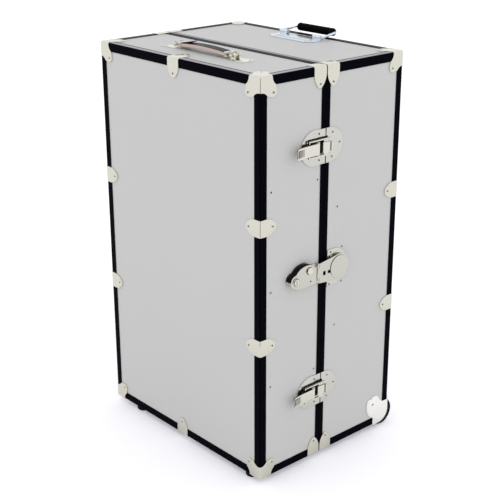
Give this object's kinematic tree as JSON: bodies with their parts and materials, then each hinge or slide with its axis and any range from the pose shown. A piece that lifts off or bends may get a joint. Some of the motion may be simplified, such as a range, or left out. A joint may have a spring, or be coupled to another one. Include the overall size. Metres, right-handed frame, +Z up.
{
  "type": "wardrobe trunk",
  "caption": "Upright wardrobe trunk in two hinged halves, with drawers, garment rail, draw latches, hasp lock, carry handle, folding tow handle and wheels.",
  "frame": {"origin": "on the floor, under the middle of the overall size", "axes": "+Z up; -Y is the latch face; -X is the drawer half, +X the hanging half with the wheels"},
  "size_m": [0.4972, 0.6407, 1.053],
  "materials": {
    "aluminium": "plain, extruded",
    "drawer_lining": "grey cloth on plywood",
    "edge_trim": "black satin lacquer",
    "foot_rubber": "black, matte",
    "grip_rubber": "black, satin",
    "hanger_wood": "varnished beech",
    "laminate": "pale grey laminate on plywood, fine texture, satin",
    "latch_nickel": "nickel plated, bright",
    "leather": "black, smooth, raw tan edges",
    "nickel": "nickel plated, bright",
    "pull": "nickel plated",
    "rail": "chromed tube",
    "steel": "zinc plated",
    "well_lining": "black, matte",
    "wheel_rubber": "black, matte",
    "zinc": "bright zinc, faint grain"
  },
  "bodies": {
    "drawer_shell": {"drawer_side_panel": "laminate", "drawer_top_panel": "laminate", "drawer_bottom_panel": "laminate", "drawer_front_panel": "laminate", "drawer_back_panel": "laminate", "lock_case": "latch_nickel", "latch_plates": "latch_nickel", "hinge_leaves_drawer": "steel", "pivot_pins": "steel", "carry_handle_plates": "nickel", "drawer_runners": "aluminium", "drawer_trims": "edge_trim", "drawer_corner_caps": "nickel", "drawer_clamps": "nickel", "drawer_rivets": "nickel", "drawer_feet": "foot_rubber"},
    "hanging_shell": {"hanging_side_panel": "laminate", "hanging_top_panel": "laminate", "hanging_bottom_panel": "laminate", "hanging_front_panel": "laminate", "hanging_back_panel": "laminate", "hanging_trims": "edge_trim", "hanging_corner_caps": "nickel", "hanging_clamps": "nickel", "hanging_rivets": "nickel", "hanging_feet": "foot_rubber", "wheel_corner_plates": "nickel", "wheel_wells": "well_lining", "wheel_axles": "steel", "hinge_leaves_hanging": "steel", "latch_catches": "latch_nickel", "lock_keeper": "latch_nickel", "tow_plate": "zinc", "garment_rail": "rail", "rail_brackets": "rail", "strap_anchors": "steel"},
    "upper_lever": {"upper_latch_lever": "latch_nickel"},
    "upper_link": {"upper_latch_link": "latch_nickel"},
    "lower_lever": {"lower_latch_lever": "latch_nickel"},
    "lower_link": {"lower_latch_link": "latch_nickel"},
    "hasp": {"hasp": "latch_nickel"},
    "key_cylinder": {"key_cylinder": "latch_nickel"},
    "push_button": {"push_button": "latch_nickel"},
    "carry_handle": {"carry_strap": "leather", "carry_end_caps": "nickel"},
    "tow_handle": {"tow_bail": "zinc", "tow_grip": "grip_rubber"},
    "front_wheel": {"front_wheel": "wheel_rubber"},
    "back_wheel": {"back_wheel": "wheel_rubber"},
    "drawer_1": {"drawer_1_box": "drawer_lining", "drawer_1_pull": "pull"},
    "drawer_2": {"drawer_2_box": "drawer_lining", "drawer_2_pull": "pull"},
    "drawer_3": {"drawer_3_box": "drawer_lining", "drawer_3_pull": "pull"},
    "drawer_4": {"drawer_4_box": "drawer_lining", "drawer_4_pull": "pull"},
    "hanger_1": {"hanger_1": "hanger_wood"},
    "hanger_2": {"hanger_2": "hanger_wood"},
    "hanger_3": {"hanger_3": "hanger_wood"}
  },
  "joints": [
    {"name": "halves_hinge", "type": "hinge", "parent": "drawer_shell", "child": "hanging_shell", "pos_m": [-0.03935, 0.31586, 0.522], "axis": [0, 0, 1], "range_deg": [0, 180]},
    {"name": "lower_lever_pivot", "type": "hinge", "parent": "drawer_shell", "child": "lower_lever", "pos_m": [-0.07335, -0.30734, 0.2015], "axis": [0, 0, 1], "range_deg": [0, 150]},
    {"name": "lower_link_pivot", "type": "hinge", "parent": "lower_lever", "child": "lower_link", "pos_m": [-0.10035, -0.30734, 0.2015], "axis": [0, 0, 1], "range_deg": [-150, 0]},
    {"name": "upper_lever_pivot", "type": "hinge", "parent": "drawer_shell", "child": "upper_lever", "pos_m": [-0.07335, -0.30734, 0.8395], "axis": [0, 0, 1], "range_deg": [0, 150]},
    {"name": "upper_link_pivot", "type": "hinge", "parent": "upper_lever", "child": "upper_link", "pos_m": [-0.10035, -0.30734, 0.8395], "axis": [0, 0, 1], "range_deg": [-150, 0]},
    {"name": "hasp_pivot", "type": "hinge", "parent": "drawer_shell", "child": "hasp", "pos_m": [-0.06185, -0.30534, 0.525], "axis": [0, 0, -1], "range_deg": [0, 112]},
    {"name": "key_turn", "type": "hinge", "parent": "drawer_shell", "child": "key_cylinder", "pos_m": [-0.14385, -0.29934, 0.525], "axis": [0, 1, 0], "range_deg": [0, 90]},
    {"name": "button_push", "type": "slide", "parent": "drawer_shell", "child": "push_button", "axis": [0, 1, 0], "range_m": [0, 0.003], "stiffness_N_per_m": 400},
    {"name": "carry_handle_lift", "type": "slide", "parent": "drawer_shell", "child": "carry_handle", "axis": [0, 0, 1], "range_m": [0, 0.003]},
    {"name": "tow_handle_swing", "type": "hinge", "parent": "hanging_shell", "child": "tow_handle", "pos_m": [0.17615, 0.00866, 1.037], "axis": [0, -1, 0], "range_deg": [0, 165]},
    {"name": "front_wheel_spin", "type": "hinge", "parent": "hanging_shell", "child": "front_wheel", "pos_m": [0.21065, -0.29934, 0.038], "axis": [0, 1, 0], "continuous": true},
    {"name": "back_wheel_spin", "type": "hinge", "parent": "hanging_shell", "child": "back_wheel", "pos_m": [0.21065, 0.30866, 0.038], "axis": [0, 1, 0], "continuous": true},
    {"name": "drawer_1_slide", "type": "slide", "parent": "drawer_shell", "child": "drawer_1", "axis": [1, 0, 0], "range_m": [0, 0.15]},
    {"name": "drawer_2_slide", "type": "slide", "parent": "drawer_shell", "child": "drawer_2", "axis": [1, 0, 0], "range_m": [0, 0.15]},
    {"name": "drawer_3_slide", "type": "slide", "parent": "drawer_shell", "child": "drawer_3", "axis": [1, 0, 0], "range_m": [0, 0.15]},
    {"name": "drawer_4_slide", "type": "slide", "parent": "drawer_shell", "child": "drawer_4", "axis": [1, 0, 0], "range_m": [0, 0.15]},
    {"name": "hanger_1_swing", "type": "hinge", "parent": "hanging_shell", "child": "hanger_1", "pos_m": [0.19265, 0.00466, 0.9815], "axis": [1, 0, 0], "range_deg": [-12, 12]},
    {"name": "hanger_2_swing", "type": "hinge", "parent": "hanging_shell", "child": "hanger_2", "pos_m": [0.16565, 0.00466, 0.9815], "axis": [1, 0, 0], "range_deg": [-12, 12]},
    {"name": "hanger_3_swing", "type": "hinge", "parent": "hanging_shell", "child": "hanger_3", "pos_m": [0.13865, 0.00466, 0.9815], "axis": [1, 0, 0], "range_deg": [-12, 12]}
  ],
  "couplings": [
    {"joint": "lower_link_pivot", "follows": "lower_lever_pivot", "ratio": -1},
    {"joint": "upper_link_pivot", "follows": "upper_lever_pivot", "ratio": -1}
  ]
}
